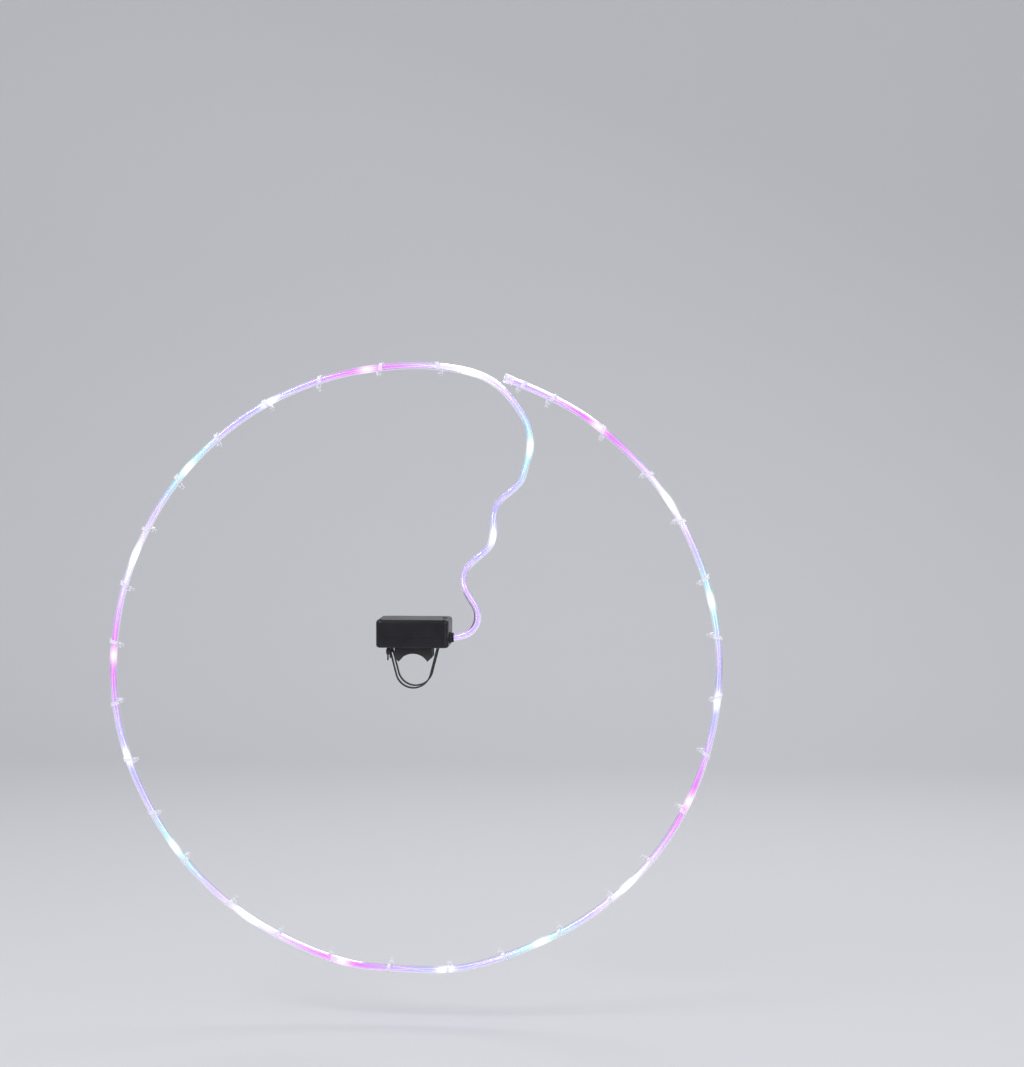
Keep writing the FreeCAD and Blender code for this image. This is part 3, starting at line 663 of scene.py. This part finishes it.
def make_tube():
    stations = np.linspace(0.0, route.total, int(route.total / TUBE_STEP))
    mesh = tube_mesh("tube_outer", stations, TUBE_SIDES, [TUBE_RADIUS, TUBE_BORE])
    # Painted LED glow: into the tube's colour, and as light the tube gives off
    paint_stations(mesh, "painted_glow", stations, wall_painted_glow_at)
    paint_stations(mesh, "light", stations, light_at)
    mesh.materials.append(tube_material("tube_clear", 0.52, 0.05, transmission_weight=1.0,
                                        coat_weight=0.3, coat_roughness=0.05))
    mesh.materials.append(tube_material("tube_bore", 0.66, 0.08, transmission_weight=0.78))
    # Outer and bore faces take turns, one round of sides each, and the ends' faces come last
    end_faces = (len(stations) - 1) * 2 * TUBE_SIDES
    mesh.polygons.foreach_set("material_index",
                              [(index // TUBE_SIDES) % 2 if index < end_faces else 0
                               for index in range(len(mesh.polygons))])
    piece = new_object("tube_outer", mesh, CASE_BODY)
    sharpen(piece, TUBE_SHARP_ANGLE)
    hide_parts("light_tube")
    wires = wire_material()
    for side, node in ((1, "wire_positive"), (-1, "wire_negative")):
        core = new_object("core_" + node, tube_mesh("core_" + node, stations, WIRE_SIDES,
                                                    [WIRE_RADIUS], wire_offset(side)), CASE_BODY)
        core.data.materials.append(wires)
        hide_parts(node)


def make_leds():
    """Resin drops: pointed at both ends where they grip the wires."""
    for name in LED_ORDER:
        bm = bmesh.new()
        for colour, distance in LEDS:
            if colour == name:
                add_lathe(bm, route.frame(distance), BEAD_PROFILE, BEAD_SIDES, squash=BEAD_SQUASH)
        piece = new_object("beads_" + name, mesh_from_bmesh("beads_" + name, bm), CASE_BODY)
        piece.data.materials.append(led_material(name))
        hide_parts("leds_" + name)


# Ties: straps with rails along both edges, heads and toothed tails, in millimetres and degrees

TIE_WIDTH = 3.3
TIE_THICKNESS = 0.95
TIE_RAIL = 0.6
TIE_GROOVE = 0.25
TIE_INNER_CUT = 0.1
TIE_OUTER_CUT = 0.12
TIE_GAP = 0.05
TIE_SPOKE_GAP = 0.12
TIE_CORNER = 2.1
TIE_CORNER_STEPS = 8
TIE_LEAN = 2.85
TIE_LEAN_FRONT = 0.28
TIE_LEAN_GAIN = 0.67
TIE_TILT = 4
TIE_HEAD_LEAN = 0.9
TIE_HEAD_Y = 0.75
TIE_HEAD_STRAY = 0.2
TIE_HEAD_DROP = 1.9
TIE_TAIL_LENGTHS = (1.2, 3.0)
TIE_TAIL_SECTION = (TIE_WIDTH - 0.3, 0.6)
TIE_TAIL_Y = 0.2
TIE_TAIL_DROP = 1.7
TIE_TOOTH_SIZE = (TIE_WIDTH - 1.0, 0.5, 0.34)
TIE_TOOTH_Y = -0.1
TIE_TOOTH_DROP = 2.05
TIE_TOOTH_PITCH = 0.55
# A head's body, its collar and the frame of its slot: (offset, size, edge radius)
TIE_HEAD_BLOCKS = [((0, 0, 0.2), (4.8, 3.8, 3.3), 0.55), ((0, 0, -1.45), (4.0, 3.0, 0.8), 0.3),
                   ((0, -1.85, 0.2), (2.6, 0.5, 1.9), 0.2)]

HUB_TIE_RAIL = 0.8
HUB_TIE_GROOVE = 0.35
HUB_TIE_INNER_CUT = 0.12
HUB_TIE_OUTER_CUT = 0.15
HUB_TIE_ROUND_STEPS = 48
HUB_TIE_BEND_STEPS = 8
HUB_TIE_HEAD = (-23.5, 0, 17.7)
HUB_TIE_HEAD_BLOCKS = [((0, 0, 0), (3.8, 7.2, 5.8), 0.55), ((-1.95, 0, 0.2), (0.5, 5.0, 3.6), 0.18),
                       ((-0.65, 0, 3.05), (1.6, 5.0, 0.5), 0.15)]
HUB_TIE_TAIL_X = -24.15
HUB_TIE_TAIL_Z = 12.1
HUB_TIE_TAIL_SIZE = (0.7, 4.4, 5.4)
HUB_TIE_TOOTH_COUNT = 9
HUB_TIE_TOOTH_PITCH = 0.62
HUB_TIE_TOOTH_SIZE = (1.25, 4.0, 0.5)
HUB_TIE_TOOTH_Z = 14.7


def strap_profile(width, thickness, rail, groove, inner, outer):
    """Across a strap, as (across, out) points. Inner and outer are the cuts at its edges."""
    half = width / 2
    return [(-half, inner), (-half + inner, 0.0), (half - inner, 0.0), (half, inner),
            (half, thickness - outer), (half - outer, thickness),
            (half - rail, thickness), (half - rail - outer, thickness - groove),
            (-half + rail + outer, thickness - groove), (-half + rail, thickness),
            (-half + outer, thickness), (-half, thickness - outer)]


def strap_line(lean):
    """Inner line of a spoke tie, as (point, outward direction) pairs round tube and spoke.

    It leans to one side, more at the back.
    """
    side = TUBE_RADIUS + TIE_GAP
    back = TUBE_RADIUS + TUBE_GAP + 2 * SPOKE_RADIUS + TIE_SPOKE_GAP
    centres = [(-side + TIE_CORNER, -side + TIE_CORNER), (-side + TIE_CORNER, side - TIE_CORNER),
               (back - TIE_CORNER, side - TIE_CORNER), (back - TIE_CORNER, -side + TIE_CORNER)]
    line = []
    for (centre_y, centre_z), first in zip(centres, (270, 180, 90, 0)):
        for step in range(TIE_CORNER_STEPS + 1):
            angle = math.radians(first - 90.0 * step / TIE_CORNER_STEPS)
            out = Vector((0, math.cos(angle), math.sin(angle)))
            y = centre_y + out.y * TIE_CORNER
            z = centre_z + out.z * TIE_CORNER
            share = TIE_LEAN_FRONT + TIE_LEAN_GAIN * (y + side) / (back + side)
            line.append((Vector((lean * share * z / side, y, z)), out))
    return line


def spoke_tie_angles():
    """Each tie sits on its spoke, apart from one beside it, where the lead joins the ring."""
    angles = [FIRST_SPOKE_ANGLE + SPOKE_STEP * index for index in range(SPOKE_COUNT)]
    angles[SPOKE_BEHIND_JOIN] = EXTRA_TIE_ANGLE
    return angles


def make_spoke_ties():
    """Clear ties at all spokes. Every third one leans the other way, in the left group."""
    chance = random.Random(11)
    nylon = tie_material()
    groups = {"left": bmesh.new(), "right": bmesh.new()}
    profile = strap_profile(TIE_WIDTH, TIE_THICKNESS, TIE_RAIL, TIE_GROOVE, TIE_INNER_CUT,
                            TIE_OUTER_CUT)
    for index, angle in enumerate(spoke_tie_angles()):
        hand = "left" if index % 3 == 1 else "right"
        lean = -TIE_LEAN if hand == "left" else TIE_LEAN
        bm = groups[hand]
        distance = route.at_angle(angle % 360)
        tilt = Matrix.Rotation(math.radians(chance.uniform(-TIE_TILT, TIE_TILT)), 4, "Y")
        place = route.frame(distance) @ tilt
        add_strap(bm, place, strap_line(lean), profile, Vector((1, 0, 0)))
        head_y = TIE_HEAD_Y + chance.uniform(-TIE_HEAD_STRAY, TIE_HEAD_STRAY)
        head = Vector((-TIE_HEAD_LEAN * lean, head_y, -TUBE_RADIUS - TIE_GAP - TIE_HEAD_DROP))
        add_blocks(bm, place, head, TIE_HEAD_BLOCKS)
        tail = chance.uniform(*TIE_TAIL_LENGTHS)
        add_block(bm, place, head + Vector((0, TIE_TAIL_Y, -TIE_TAIL_DROP - tail / 2)),
                  (*TIE_TAIL_SECTION, tail), 0.15)
        for tooth in range(int(tail / TIE_TOOTH_PITCH)):
            drop = -TIE_TOOTH_DROP - TIE_TOOTH_PITCH * tooth
            add_block(bm, place, head + Vector((0, TIE_TOOTH_Y, drop)), TIE_TOOTH_SIZE, 0.1)
    for hand, bm in groups.items():
        finish_piece("ties_" + hand, bm, nylon, "spoke_ties_" + hand)


def arc_points(centre, radius, first, last, steps):
    """(point, outward direction) pairs round part of a circle in the XZ plane, in degrees."""
    made = []
    for step in range(steps + 1):
        out = polar(1.0, first + (last - first) * step / steps, 0)
        made.append((centre + out * radius, out))
    return made


def hub_tie_line():
    """Inner line of a hub tie: under the hub, up both sides of the pad and across the case."""
    corner = Vector((HUB_TIE_CORNER_X, 0, HUB_TIE_TOP))
    touch = math.degrees(math.atan2(corner.z, corner.x) - math.acos(HUB_RADIUS / corner.length))
    inset = HUB_TIE_BEND * math.tan(math.radians(90 - touch) / 2)
    centre = Vector((corner.x - inset, 0, corner.z - HUB_TIE_BEND))
    mirrored = Vector((-centre.x, 0, centre.z))
    line = arc_points(Vector((0, 0, 0)), HUB_RADIUS, -180 - touch, touch, HUB_TIE_ROUND_STEPS)
    line += arc_points(centre, HUB_TIE_BEND, touch, 90, HUB_TIE_BEND_STEPS)
    line += arc_points(mirrored, HUB_TIE_BEND, 90, 180 - touch, HUB_TIE_BEND_STEPS)
    return line


def make_hub_ties():
    black = plastic_material("nylon_black", (0.010, 0.010, 0.011), (0.024, 0.024, 0.026), 0.34)
    line = hub_tie_line()
    profile = strap_profile(HUB_TIE_WIDTH, HUB_TIE_THICKNESS, HUB_TIE_RAIL, HUB_TIE_GROOVE,
                            HUB_TIE_INNER_CUT, HUB_TIE_OUTER_CUT)
    for node, y in (("near", -HUB_TIE_Y), ("far", HUB_TIE_Y)):
        bm = bmesh.new()
        place = Matrix.Translation(Vector((0, y, 0)))
        add_strap(bm, place, line, profile, Vector((0, 1, 0)))
        add_blocks(bm, place, HUB_TIE_HEAD, HUB_TIE_HEAD_BLOCKS)
        for tooth in range(HUB_TIE_TOOTH_COUNT):
            z = HUB_TIE_TOOTH_Z - HUB_TIE_TOOTH_PITCH * tooth
            add_block(bm, place, (HUB_TIE_TAIL_X, 0, z), HUB_TIE_TOOTH_SIZE, 0.12)
        add_block(bm, place, (HUB_TIE_TAIL_X, 0, HUB_TIE_TAIL_Z), HUB_TIE_TAIL_SIZE, 0.12)
        finish_piece("hub_strap_" + node, bm, black, "hub_tie_" + node)


# End cap and strain relief

CAP_GRIP_RINGS = (5.4, 3.9, 2.4)
CAP_SIDES = 36
BOOT_RIBS = 3
BOOT_RIB_START = 1.75
BOOT_RIB_PITCH = 0.9
BOOT_RIB_RADIUS = 4.85
BOOT_RIB_TAPER = 0.22
BOOT_RIB_HEIGHT = 0.35
BOOT_LENGTH = 4.4
BOOT_SIDES = 40


def make_end_cap():
    """A clear cap pressed over the free end of the tube, with three grip rings."""
    inner = TUBE_RADIUS + 0.03
    outer = PLUG_RADIUS
    profile = [(0.0, 0.4), (0.0, inner - 0.1), (PLUG_COVER, inner), (PLUG_COVER, outer - 0.45),
               (PLUG_COVER - 0.35, outer - 0.1)]
    for ring in CAP_GRIP_RINGS:
        profile += [(ring + 0.55, outer), (ring + 0.2, outer - 0.3), (ring - 0.2, outer - 0.3),
                    (ring - 0.55, outer)]
    profile += [(0.6, outer), (-1.9, outer - 0.1), (-2.6, outer - 0.5), (-2.95, outer - 1.3),
                (-3.0, 0.4)]
    bm = bmesh.new()
    add_lathe(bm, route.frame(route.total), profile, CAP_SIDES)
    finish_piece("end_cap", bm, clear_plastic(), "end_plug")


def make_gland():
    """A rubber strain relief: a flange each side of the wall and a ribbed boot outside."""
    inner = TUBE_RADIUS + 0.02
    profile = [(CASE_INSIDE - 1.4, inner), (CASE_INSIDE - 1.4, 4.55), (CASE_INSIDE - 1.2, 4.8),
               (CASE_INSIDE, 4.8), (CASE_INSIDE, GLAND_NECK), (CASE_END, GLAND_NECK),
               (CASE_END, 5.1), (CASE_END + 0.25, 5.4), (CASE_END + 1.25, 5.4),
               (CASE_END + 1.6, 5.1)]
    for index in range(BOOT_RIBS):
        along = CASE_END + BOOT_RIB_START + index * BOOT_RIB_PITCH
        radius = BOOT_RIB_RADIUS - BOOT_RIB_TAPER * index
        profile += [(along, radius - BOOT_RIB_HEIGHT), (along + 0.2, radius - BOOT_RIB_HEIGHT),
                    (along + 0.3, radius), (along + 0.75, radius - 0.05)]
    profile += [(CASE_END + BOOT_LENGTH, TUBE_RADIUS + 0.5), (CASE_END + BOOT_LENGTH, inner)]
    bm = bmesh.new()
    place = Matrix.Translation(Vector((0, GLAND_Y, SEAM)))
    add_lathe(bm, place, profile, BOOT_SIDES, closed=True)
    finish_piece("gland_boot", bm, RUBBER_BLACK, "cable_gland")


# Parts on the board

LEGS_PER_SIDE = 4
LEG_PITCH = 1.2
LEG_FIRST_Y = -1.8
CAPACITOR_SIDES = 32
SOLDER_SIDES = 16
# (height, radius) of the can capacitor, with its groove and rim, and of a solder cone
CAPACITOR_PROFILE = [(0.0, 0.3), (0.0, 1.7), (0.1, 1.85), (0.7, 1.9), (0.8, 1.75), (1.0, 1.75),
                     (1.1, 1.95), (4.2, 1.95), (4.45, 1.8), (4.48, 1.5), (4.36, 1.35),
                     (4.36, 0.3)]
SOLDER_PROFILE = [(-0.05, 0.95), (0.05, 0.9), (0.3, 0.62), (0.55, 0.3), (0.62, 0.08)]


def upright(x, y):
    """A frame on top of the board whose X axis points up."""
    turn = Matrix.Rotation(math.radians(-90), 4, "Y")
    return Matrix.Translation(Vector((x, y, BOARD_TOP))) @ turn


def make_board_parts():
    """Controller with legs, resistors with end caps, a can capacitor and solder spots."""
    place = Matrix.Identity(4)
    black = plastic_material("component_black", (0.012, 0.012, 0.012), (0.03, 0.03, 0.03))
    bm = bmesh.new()
    add_block(bm, place, (SWITCH_X, CONTROLLER_Y, BOARD_TOP + 0.85), (2.9, 4.9, 1.35), 0.16)
    for y in RESISTOR_YS:
        add_block(bm, place, (SWITCH_X, y + RESISTOR_HALF, BOARD_TOP + 0.3), (1.3, 1.15, 0.55),
                  0.08)
    finish_piece("chip_bodies", bm, black, "board_parts")
    bm = bmesh.new()
    for step in range(LEGS_PER_SIDE):
        for side in (-1, 1):
            y = CONTROLLER_Y + LEG_FIRST_Y + LEG_PITCH * step
            add_blocks(bm, place, (SWITCH_X, y, BOARD_TOP), [
                ((side * 1.6, 0, 0.55), (0.5, 0.42, 0.2), 0.05),
                ((side * 1.8, 0, 0.3), (0.2, 0.42, 0.6), 0.05)])
    for y in RESISTOR_YS:
        for side in (-1, 1):
            add_block(bm, place, (SWITCH_X + side * 0.82, y + RESISTOR_HALF, BOARD_TOP + 0.3),
                      (0.36, 1.2, 0.6), 0.06)
    add_lathe(bm, upright(SWITCH_X, CAPACITOR_Y), CAPACITOR_PROFILE, CAPACITOR_SIDES)
    for x, y in SOLDER_SPOTS:
        add_lathe(bm, upright(x, y), SOLDER_PROFILE, SOLDER_SIDES)
    finish_piece("solder_and_caps", bm, NICKEL, None)


# Nodes that keep their shape from CAD

def node_materials():
    """The material of each node that stays visible."""
    case_black = case_material()
    materials = {
        "case_base": case_black,
        "case_lid": case_black,
        "lid_screws": metal_material("screw_steel", (0.35, 0.35, 0.36), (0.55, 0.55, 0.56)),
        "terminal_negative": NICKEL,
        "terminal_positive": NICKEL,
        "bridge_left": NICKEL,
        "bridge_right": NICKEL,
        "circuit_board": board_material(),
        "switch_body": plastic_material("switch_black", (0.015, 0.015, 0.016),
                                        (0.04, 0.04, 0.04)),
        "switch_plunger": plastic_material("plunger_white", (0.70, 0.69, 0.64),
                                           (0.82, 0.81, 0.77)),
        "push_button": rubber_material("button_rubber", (0.020, 0.020, 0.022),
                                       (0.045, 0.045, 0.048)),
        "hub_pad": RUBBER_BLACK,
        "lead_wires": plastic_material("wire_red", (0.35, 0.02, 0.015), (0.5, 0.03, 0.02), 0.3),
        "lid_gasket": RUBBER_BLACK,
        "led_chips": plastic_material("chip_yellow", (0.75, 0.66, 0.25), (0.9, 0.84, 0.45)),
    }
    # The cells lie head to tail, so the middle one faces the other way
    for number in (1, 2, 3):
        materials[f"battery_{number}"] = cell_material(f"cell_sleeve_{number}", number != 2)
    return materials


def dress_nodes():
    for node, material in node_materials().items():
        mesh = nodes[node].data
        mesh.materials.clear()
        mesh.materials.append(material)
    for node in nodes.values():
        sharpen(node, NODE_SHARP_ANGLE)


# Studio, in metres and degrees. The camera's scale is that of the photograph.

FLOOR_Z = -0.3395
STAGE_FRONT = -4.0
STAGE_BACK = 2.75
STAGE_SIDE = 7.0
STAGE_HEIGHT = 4.5
STAGE_BEND = 0.9
STAGE_BEND_STEPS = 8
CAMERA_AZIMUTH = 5.0
CAMERA_ELEVATION = 5.5
CAMERA_DISTANCE = 2.4
SENSOR_WIDTH_MM = 36.0
MM_PER_PIXEL = 0.95
IMAGE_WIDTH = 1024
IMAGE_HEIGHT = 1067
RING_CENTRE_PIXEL = (414.5, 669.0)
WORLD_COLOUR = (0.93, 0.95, 1.0, 1.0)
WORLD_STRENGTH = 0.55
# Name, location, target, width and power of each area light
AREA_LIGHTS = [("key", (-1.6, -2.0, 2.0), (0, 0, 0), 1.6, 55),
               ("fill", (2.0, -1.6, 0.8), (0, 0, 0), 1.8, 22),
               ("rim", (0.6, 1.3, 1.8), (0, 0, 0.05), 1.2, 18)]


def backdrop_material():
    """Matt grey, pale enough to see dark parts against and dark enough to see the glow."""
    material = bpy.data.materials.new("backdrop")
    material.use_nodes = True
    shader = material.node_tree.nodes["Principled BSDF"]
    shader.inputs["Base Color"].default_value = (0.60, 0.60, 0.62, 1.0)
    shader.inputs["Roughness"].default_value = 0.9
    return material


def make_stage():
    """A floor that bends up into a wall behind the object."""
    outline = [(STAGE_FRONT, 0.0), (STAGE_BACK - STAGE_BEND, 0.0)]
    for step in range(1, STAGE_BEND_STEPS + 1):
        angle = math.radians(90.0 * step / STAGE_BEND_STEPS)
        outline.append((STAGE_BACK - STAGE_BEND + STAGE_BEND * math.sin(angle),
                        STAGE_BEND - STAGE_BEND * math.cos(angle)))
    outline.append((STAGE_BACK, STAGE_HEIGHT))
    bm = bmesh.new()
    left, right = [[bm.verts.new((x, y, z + FLOOR_Z)) for y, z in outline]
                   for x in (-STAGE_SIDE, STAGE_SIDE)]
    for a, b, c, d in zip(left, right, right[1:], left[1:]):
        bm.faces.new((a, b, c, d))
    stage = new_object("stage", mesh_from_bmesh("stage", bm), None)
    stage.data.materials.append(backdrop_material())


def make_camera():
    camera = bpy.data.cameras.new("camera")
    holder = new_object("camera", camera, None)
    azimuth = math.radians(CAMERA_AZIMUTH)
    elevation = math.radians(CAMERA_ELEVATION)
    away = Vector((math.sin(azimuth) * math.cos(elevation),
                   -math.cos(azimuth) * math.cos(elevation), math.sin(elevation)))
    holder.location = away * CAMERA_DISTANCE
    holder.rotation_euler = (-away).to_track_quat("-Z", "Y").to_euler()
    camera.sensor_width = SENSOR_WIDTH_MM
    camera.lens = camera.sensor_width * CAMERA_DISTANCE / (IMAGE_HEIGHT * MM_PER_PIXEL * MM)
    camera.shift_x = (IMAGE_WIDTH / 2 - RING_CENTRE_PIXEL[0]) / IMAGE_HEIGHT
    camera.shift_y = (RING_CENTRE_PIXEL[1] - IMAGE_HEIGHT / 2) / IMAGE_HEIGHT
    bpy.context.scene.camera = holder


def area_light(name, location, target, size, energy):
    light = bpy.data.lights.new(name, "AREA")
    light.shape = "DISK"
    light.size = size
    light.energy = energy
    holder = new_object(name, light, None)
    holder.location = location
    aim = Vector(target) - Vector(location)
    holder.rotation_euler = aim.to_track_quat("-Z", "Y").to_euler()


def make_light():
    world = bpy.data.worlds.new("world")
    world.use_nodes = True
    background = world.node_tree.nodes["Background"]
    background.inputs["Color"].default_value = WORLD_COLOUR
    background.inputs["Strength"].default_value = WORLD_STRENGTH
    bpy.context.scene.world = world
    for light in AREA_LIGHTS:
        area_light(*light)


def main():
    bpy.context.scene.view_settings.view_transform = "Standard"
    make_stage()
    make_camera()
    make_light()
    make_tube()
    make_leds()
    make_spoke_ties()
    make_end_cap()
    make_gland()
    make_hub_ties()
    make_board_parts()
    dress_nodes()


main()
